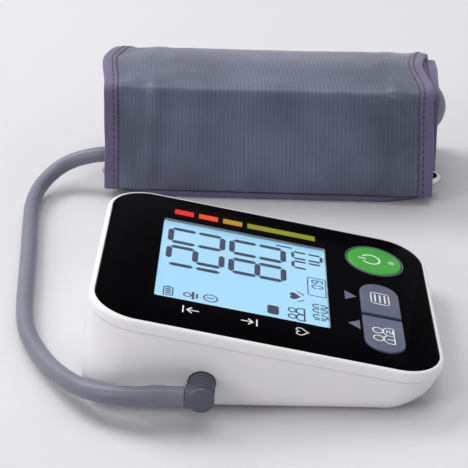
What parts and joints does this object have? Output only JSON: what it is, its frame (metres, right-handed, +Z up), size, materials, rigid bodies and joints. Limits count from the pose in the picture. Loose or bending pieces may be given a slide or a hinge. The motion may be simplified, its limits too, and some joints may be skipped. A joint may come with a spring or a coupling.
{
  "type": "upper arm blood pressure monitor",
  "caption": "Wedge-shaped upper arm blood pressure monitor with a sloping display panel, push keys, a plug-in air hose and a rolled arm cuff with a metal ring.",
  "frame": {"origin": "on the floor plane, under the middle of the box round the unit and its rolled cuff, without the hose and its plug", "axes": "+Z up; +X towards the unit's thin end, where the user sits; +Y from the unit to the cuff behind it"},
  "size_m": [0.1851, 0.2543, 0.0576],
  "materials": {
    "white_abs": "fine satin moulded ABS",
    "black_acrylic": "polished, printed black from behind",
    "clear_acrylic": "clear polished window",
    "display_glass": "blue-lit liquid crystal glass",
    "diffuser": "milky light guide",
    "circuit_board": "solder-masked fibreglass",
    "green_abs": "satin green moulded key",
    "slate_abs": "satin slate moulded plastic",
    "black_plastic": "plain moulded black",
    "steel": "nickel plated",
    "zinc": "zinc plated can",
    "rubber": "matte moulded rubber",
    "silicone": "translucent silicone",
    "battery_sleeve": "plain printed sleeve",
    "connector_plastic": "satin moulded plug",
    "hose_pvc": "satin soft PVC",
    "cuff_nylon": "fine woven nylon with a slight sheen",
    "bladder_film": "smooth film",
    "hook_tape": "hook and loop pile",
    "binding_tape": "ribbed binding tape with stitching",
    "plated_steel": "polished plated wire"
  },
  "bodies": {
    "case": {"upper_case": "white_abs", "lower_case": "white_abs", "front_panel": "black_acrylic", "display_window": "clear_acrylic", "lcd_module": "display_glass", "lcd_backlight": "diffuser", "main_board": "circuit_board", "power_button_ring": "slate_abs", "tact_switch_power": "black_plastic", "tact_switch_memory": "black_plastic", "tact_switch_user": "black_plastic", "pressure_sensor": "black_plastic", "case_screw_1": "steel", "case_screw_2": "steel", "case_screw_3": "steel", "case_screw_4": "steel", "rubber_foot_1": "rubber", "rubber_foot_2": "rubber", "rubber_foot_3": "rubber", "rubber_foot_4": "rubber", "battery_1": "battery_sleeve", "battery_2": "battery_sleeve", "battery_3": "battery_sleeve", "battery_4": "battery_sleeve", "contact_minus": "steel", "contact_plus": "steel", "contact_bridge_1": "steel", "contact_bridge_2": "steel", "contact_bridge_3": "steel", "motor_can": "zinc", "pump_head": "black_plastic", "exhaust_valve": "zinc", "air_port": "slate_abs", "air_manifold": "black_plastic", "pump_tube": "silicone", "valve_tube": "silicone", "sensor_tube": "silicone", "air_hose": "hose_pvc", "cuff_outer_fabric": "cuff_nylon", "cuff_bladder": "bladder_film", "cuff_lining": "cuff_nylon", "cuff_hook_patch": "hook_tape", "cuff_loop_patch": "hook_tape", "cuff_binding_left": "binding_tape", "cuff_binding_right": "binding_tape", "cuff_end_binding": "binding_tape", "ring_loop": "cuff_nylon", "bladder_port": "connector_plastic"},
    "door": {"battery_door": "white_abs"},
    "power_key": {"power_button": "green_abs"},
    "memory_key": {"memory_button": "slate_abs"},
    "user_key": {"user_button": "slate_abs"},
    "rotor": {"motor_shaft": "steel"},
    "plunger": {"valve_plunger": "steel"},
    "connector": {"hose_connector": "connector_plastic", "connector_seal": "rubber"},
    "ring": {"metal_ring": "plated_steel"}
  },
  "joints": [
    {"name": "power_button_press", "type": "slide", "parent": "case", "child": "power_key", "axis": [-0.2091, 0, -0.9779], "range_m": [0, 0.0006], "stiffness_N_per_m": 2000},
    {"name": "memory_button_press", "type": "slide", "parent": "case", "child": "memory_key", "axis": [-0.2091, 0, -0.9779], "range_m": [0, 0.0006], "stiffness_N_per_m": 2000},
    {"name": "user_button_press", "type": "slide", "parent": "case", "child": "user_key", "axis": [-0.2091, 0, -0.9779], "range_m": [0, 0.0006], "stiffness_N_per_m": 2000},
    {"name": "battery_door_open", "type": "hinge", "parent": "case", "child": "door", "pos_m": [-0.01028, -0.05989, 0.0016], "axis": [0, -1, 0], "range_deg": [0, 75]},
    {"name": "connector_pull", "type": "slide", "parent": "case", "child": "connector", "axis": [0, -1, 0], "range_m": [0, 0.014]},
    {"name": "ring_swing", "type": "hinge", "parent": "case", "child": "ring", "pos_m": [-0.00022, 0.0547, 0.00869], "axis": [0.9988, -0.0489, 0], "range_deg": [0, 12]},
    {"name": "motor_spin", "type": "hinge", "parent": "case", "child": "rotor", "pos_m": [-0.03588, -0.09189, 0.011], "axis": [1, 0, 0], "continuous": true},
    {"name": "valve_plunger_press", "type": "slide", "parent": "case", "child": "plunger", "axis": [1, 0, 0], "range_m": [0, 0.001], "stiffness_N_per_m": 300}
  ]
}
